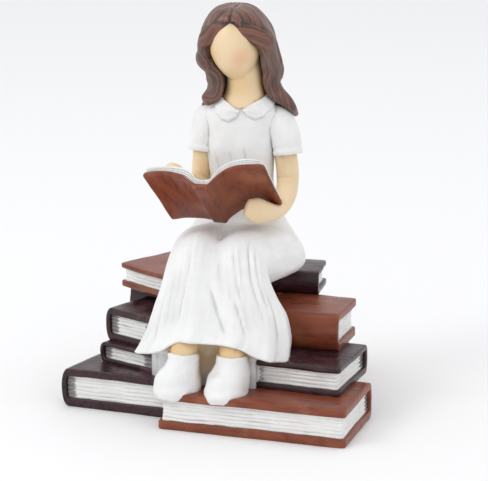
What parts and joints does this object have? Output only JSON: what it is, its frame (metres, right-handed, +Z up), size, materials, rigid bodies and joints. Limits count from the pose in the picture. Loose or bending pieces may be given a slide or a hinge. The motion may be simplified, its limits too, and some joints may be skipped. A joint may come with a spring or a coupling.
{
  "type": "reading girl statue",
  "caption": "Small painted resin statue of a faceless girl in a white dress, reading an open book while seated on a pile of books.",
  "frame": {"origin": "centre of the pile's bounding box on its flat underside, where the statue stands", "axes": "+Z up, +X to the viewer's right as the girl is seen from the front, and the girl faces -Y"},
  "size_m": [0.0999, 0.0849, 0.13],
  "materials": {
    "painted_resin": "hand-painted: matte white dress and boots, warm skin, satin brown hair, brown and dark plum book covers, off-white page edges"
  },
  "bodies": {
    "root": {"reading_girl_statue": "painted_resin"}
  },
  "joints": []
}
